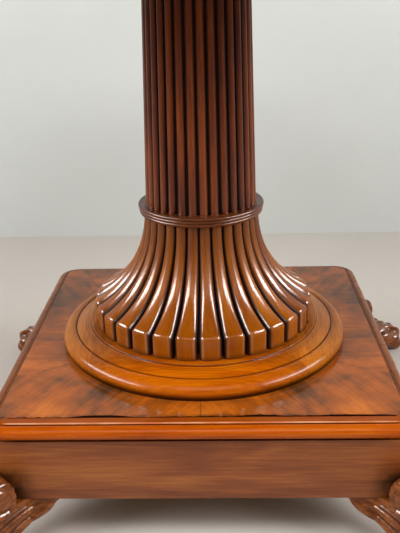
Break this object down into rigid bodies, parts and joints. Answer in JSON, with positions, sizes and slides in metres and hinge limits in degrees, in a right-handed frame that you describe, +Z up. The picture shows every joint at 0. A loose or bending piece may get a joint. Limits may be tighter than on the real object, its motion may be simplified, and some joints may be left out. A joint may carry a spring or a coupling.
{
  "type": "oval pedestal table",
  "caption": "Oval tilt-top table on a reeded column with a ribbed trumpet base, turned plinth, square veneered platform and carved scroll-and-paw feet.",
  "frame": {"origin": "on the floor, on the column's axis, which is the centre of the oval top", "axes": "+Z up, +X along the oval's long axis, -Y the front that the picture shows"},
  "size_m": [1.2, 0.8999, 0.735],
  "materials": {
    "dark_mahogany": "dark red-brown french polish on reeds",
    "ribbed_mahogany": "glossy golden-brown polish, dark in the gaps",
    "plinth_mahogany": "bright orange-brown gloss polish",
    "edge_mahogany": "red-orange gloss polish",
    "flame_veneer": "flame-figured veneer in radiating leaves, gloss polish",
    "frieze_mahogany": "straight-grained satin polish",
    "carved_mahogany": "carved and polished, dark in the hollows",
    "plain_mahogany": "unpolished, oiled",
    "pine": "raw, aged",
    "brass": "aged, lightly tarnished",
    "iron": "dark, dull"
  },
  "bodies": {
    "pedestal": {"column_shaft": "dark_mahogany", "column_collar": "dark_mahogany", "column_capital": "dark_mahogany", "flared_base": "ribbed_mahogany", "platform_core": "pine", "platform_veneer": "flame_veneer", "glue_blocks": "pine", "cross_rail_long": "pine", "cross_rail_short": "pine", "foot_dowels": "pine", "tie_rod": "iron", "tie_rod_nuts": "iron", "tie_rod_washers": "iron", "top_block": "plain_mahogany", "pivot_pins": "iron", "strike_plate": "brass", "strike_screws": "brass", "plinth_segment_front": "plinth_mahogany", "edge_moulding_front": "edge_mahogany", "frieze_front": "frieze_mahogany", "plinth_segment_right": "plinth_mahogany", "edge_moulding_right": "edge_mahogany", "frieze_right": "frieze_mahogany", "plinth_segment_back": "plinth_mahogany", "edge_moulding_back": "edge_mahogany", "frieze_back": "frieze_mahogany", "plinth_segment_left": "plinth_mahogany", "edge_moulding_left": "edge_mahogany", "frieze_left": "frieze_mahogany", "corner_block_front_right": "pine", "foot_front_right": "carved_mahogany", "left_wing_front_right": "carved_mahogany", "right_wing_front_right": "carved_mahogany", "corner_block_back_right": "pine", "foot_back_right": "carved_mahogany", "left_wing_back_right": "carved_mahogany", "right_wing_back_right": "carved_mahogany", "corner_block_back_left": "pine", "foot_back_left": "carved_mahogany", "left_wing_back_left": "carved_mahogany", "right_wing_back_left": "carved_mahogany", "corner_block_front_left": "pine", "foot_front_left": "carved_mahogany", "left_wing_front_left": "carved_mahogany", "right_wing_front_left": "carved_mahogany"},
    "table_top": {"oval_top": "edge_mahogany", "top_veneer": "flame_veneer", "bearer_right": "plain_mahogany", "bearer_left": "plain_mahogany", "bearer_screws": "iron", "catch_packer": "plain_mahogany", "catch_plate": "brass", "catch_screws": "brass"},
    "catch_bolt": {"catch_bolt": "brass"}
  },
  "joints": [
    {"name": "top_tilt", "type": "hinge", "parent": "pedestal", "child": "table_top", "pos_m": [0, 0.095, 0.6907], "axis": [-1, 0, 0], "range_deg": [0, 90]},
    {"name": "bolt_slide", "type": "slide", "parent": "table_top", "child": "catch_bolt", "axis": [0, 1, 0], "range_m": [0, 0.012]}
  ]
}
